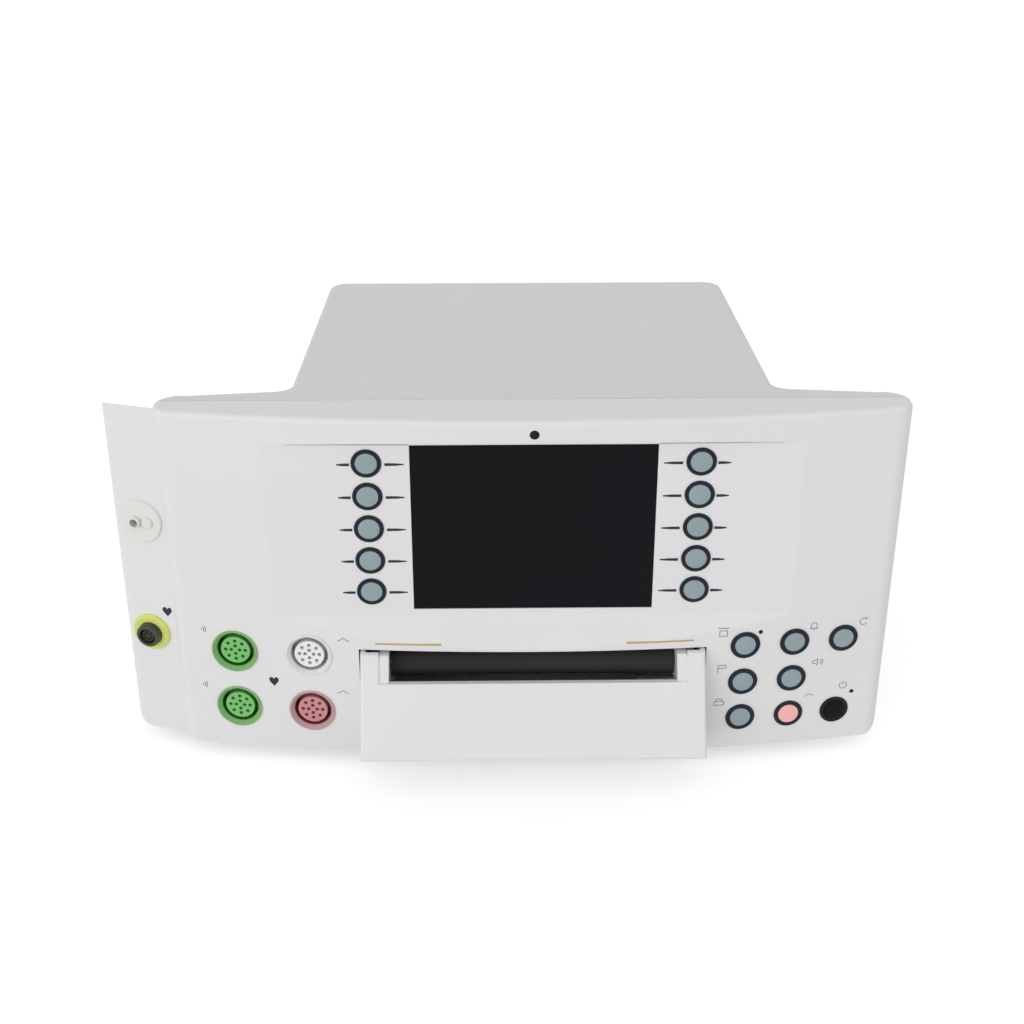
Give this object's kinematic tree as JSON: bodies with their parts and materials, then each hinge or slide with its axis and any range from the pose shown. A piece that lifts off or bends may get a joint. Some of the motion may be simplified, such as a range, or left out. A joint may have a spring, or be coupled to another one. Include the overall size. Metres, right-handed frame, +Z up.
{
  "type": "fetal monitor",
  "caption": "Table-top fetal monitor with bowed front, flat screen panel, round keys and sockets, side pod and sliding paper drawer with printer drive.",
  "frame": {"origin": "middle of the footprint, on the surface that the monitor stands on", "axes": "+X to the right as seen from the front, +Y to the rear, +Z up"},
  "size_m": [0.401, 0.2384, 0.1985],
  "materials": {
    "shell_white": "fine spark-eroded off-white moulding",
    "base_grey": "fine texture",
    "screen_dark": "gloss window over an unlit display",
    "key_grey": "satin silicone-coated cap",
    "key_pink": "satin silicone-coated cap",
    "key_black": "satin cap",
    "bezel_navy": "satin",
    "lamp_black": "smoked gloss lens",
    "collar_green": "satin moulding",
    "insert_green": "satin moulding",
    "collar_white": "satin moulding",
    "insert_white": "satin moulding",
    "collar_pink": "satin moulding",
    "insert_pink": "satin moulding",
    "collar_yellow": "satin moulding",
    "barrel_dark": "satin moulding",
    "port_white": "satin moulding",
    "rubber_black": "moulded rubber",
    "steel": "zinc-plated steel",
    "gear_white": "acetal",
    "alloy": "milled heat sink",
    "board_green": "solder-masked laminate",
    "part_black": "moulded black plastic"
  },
  "bodies": {
    "console": {"front_fascia": "shell_white", "rear_cover": "shell_white", "base_tray": "base_grey", "rubber_feet": "rubber_black", "case_screws": "steel", "side_pod": "shell_white", "screen_lens": "screen_dark", "lcd_module": "steel", "soft_key_boards": "board_green", "function_key_board": "board_green", "tact_switches": "part_black", "status_lamp": "lamp_black", "indicator_lenses": "lamp_black", "soft_key_bezels": "bezel_navy", "function_key_bezels": "bezel_navy", "pod_socket_collar": "collar_yellow", "pod_socket_barrel": "barrel_dark", "cuff_port": "port_white", "drawer_runners": "steel", "print_head": "alloy", "head_bridge": "steel", "main_board": "board_green", "power_supply": "steel", "mains_inlet": "part_black", "data_sockets": "steel", "loudspeaker": "part_black", "socket_collar_1": "collar_green", "socket_insert_1": "insert_green", "socket_collar_2": "collar_green", "socket_insert_2": "insert_green", "socket_collar_3": "collar_white", "socket_insert_3": "insert_white", "socket_collar_4": "collar_pink", "socket_insert_4": "insert_pink"},
    "drawer": {"drawer_front": "shell_white", "paper_tray": "shell_white", "stepper_motor": "steel"},
    "platen": {"platen_roller": "rubber_black", "platen_shaft": "steel", "platen_gear": "gear_white"},
    "pinion": {"motor_pinion": "steel"},
    "soft_key_left_1": {"soft_key_left_1": "key_grey"},
    "soft_key_left_2": {"soft_key_left_2": "key_grey"},
    "soft_key_left_3": {"soft_key_left_3": "key_grey"},
    "soft_key_left_4": {"soft_key_left_4": "key_grey"},
    "soft_key_left_5": {"soft_key_left_5": "key_grey"},
    "soft_key_right_1": {"soft_key_right_1": "key_grey"},
    "soft_key_right_2": {"soft_key_right_2": "key_grey"},
    "soft_key_right_3": {"soft_key_right_3": "key_grey"},
    "soft_key_right_4": {"soft_key_right_4": "key_grey"},
    "soft_key_right_5": {"soft_key_right_5": "key_grey"},
    "function_key_1": {"function_key_1": "key_grey"},
    "function_key_2": {"function_key_2": "key_grey"},
    "function_key_3": {"function_key_3": "key_grey"},
    "function_key_4": {"function_key_4": "key_grey"},
    "function_key_5": {"function_key_5": "key_grey"},
    "function_key_6": {"function_key_6": "key_grey"},
    "function_key_7": {"function_key_7": "key_pink"},
    "power_key": {"power_key": "key_black"}
  },
  "joints": [
    {"name": "drawer_slide", "type": "slide", "parent": "console", "child": "drawer", "axis": [0, -1, 0], "range_m": [0, 0.12]},
    {"name": "platen_spin", "type": "hinge", "parent": "drawer", "child": "platen", "pos_m": [0.0135, -0.07925, 0.056], "axis": [1, 0, 0], "continuous": true},
    {"name": "pinion_spin", "type": "hinge", "parent": "drawer", "child": "pinion", "pos_m": [0.0135, -0.08726, 0.04318], "axis": [1, 0, 0], "continuous": true},
    {"name": "soft_key_left_1_press", "type": "slide", "parent": "console", "child": "soft_key_left_1", "axis": [0, 1, 0], "range_m": [0, 0.001], "stiffness_N_per_m": 1200},
    {"name": "soft_key_left_2_press", "type": "slide", "parent": "console", "child": "soft_key_left_2", "axis": [0, 1, 0], "range_m": [0, 0.001], "stiffness_N_per_m": 1200},
    {"name": "soft_key_left_3_press", "type": "slide", "parent": "console", "child": "soft_key_left_3", "axis": [0, 1, 0], "range_m": [0, 0.001], "stiffness_N_per_m": 1200},
    {"name": "soft_key_left_4_press", "type": "slide", "parent": "console", "child": "soft_key_left_4", "axis": [0, 1, 0], "range_m": [0, 0.001], "stiffness_N_per_m": 1200},
    {"name": "soft_key_left_5_press", "type": "slide", "parent": "console", "child": "soft_key_left_5", "axis": [0, 1, 0], "range_m": [0, 0.001], "stiffness_N_per_m": 1200},
    {"name": "soft_key_right_1_press", "type": "slide", "parent": "console", "child": "soft_key_right_1", "axis": [0, 1, 0], "range_m": [0, 0.001], "stiffness_N_per_m": 1200},
    {"name": "soft_key_right_2_press", "type": "slide", "parent": "console", "child": "soft_key_right_2", "axis": [0, 1, 0], "range_m": [0, 0.001], "stiffness_N_per_m": 1200},
    {"name": "soft_key_right_3_press", "type": "slide", "parent": "console", "child": "soft_key_right_3", "axis": [0, 1, 0], "range_m": [0, 0.001], "stiffness_N_per_m": 1200},
    {"name": "soft_key_right_4_press", "type": "slide", "parent": "console", "child": "soft_key_right_4", "axis": [0, 1, 0], "range_m": [0, 0.001], "stiffness_N_per_m": 1200},
    {"name": "soft_key_right_5_press", "type": "slide", "parent": "console", "child": "soft_key_right_5", "axis": [0, 1, 0], "range_m": [0, 0.001], "stiffness_N_per_m": 1200},
    {"name": "function_key_1_press", "type": "slide", "parent": "console", "child": "function_key_1", "axis": [-0.1005, 0.9949, 0], "range_m": [0, 0.001], "stiffness_N_per_m": 1200},
    {"name": "function_key_2_press", "type": "slide", "parent": "console", "child": "function_key_2", "axis": [-0.1244, 0.9922, 0], "range_m": [0, 0.001], "stiffness_N_per_m": 1200},
    {"name": "function_key_3_press", "type": "slide", "parent": "console", "child": "function_key_3", "axis": [-0.1482, 0.989, 0], "range_m": [0, 0.001], "stiffness_N_per_m": 1200},
    {"name": "function_key_4_press", "type": "slide", "parent": "console", "child": "function_key_4", "axis": [-0.1005, 0.9949, 0], "range_m": [0, 0.001], "stiffness_N_per_m": 1200},
    {"name": "function_key_5_press", "type": "slide", "parent": "console", "child": "function_key_5", "axis": [-0.1244, 0.9922, 0], "range_m": [0, 0.001], "stiffness_N_per_m": 1200},
    {"name": "function_key_6_press", "type": "slide", "parent": "console", "child": "function_key_6", "axis": [-0.1005, 0.9949, 0], "range_m": [0, 0.001], "stiffness_N_per_m": 1200},
    {"name": "function_key_7_press", "type": "slide", "parent": "console", "child": "function_key_7", "axis": [-0.1244, 0.9922, 0], "range_m": [0, 0.001], "stiffness_N_per_m": 1200},
    {"name": "power_key_press", "type": "slide", "parent": "console", "child": "power_key", "axis": [-0.1473, 0.9891, 0], "range_m": [0, 0.001], "stiffness_N_per_m": 1200}
  ],
  "couplings": [
    {"joint": "pinion_spin", "follows": "platen_spin", "ratio": -2}
  ]
}
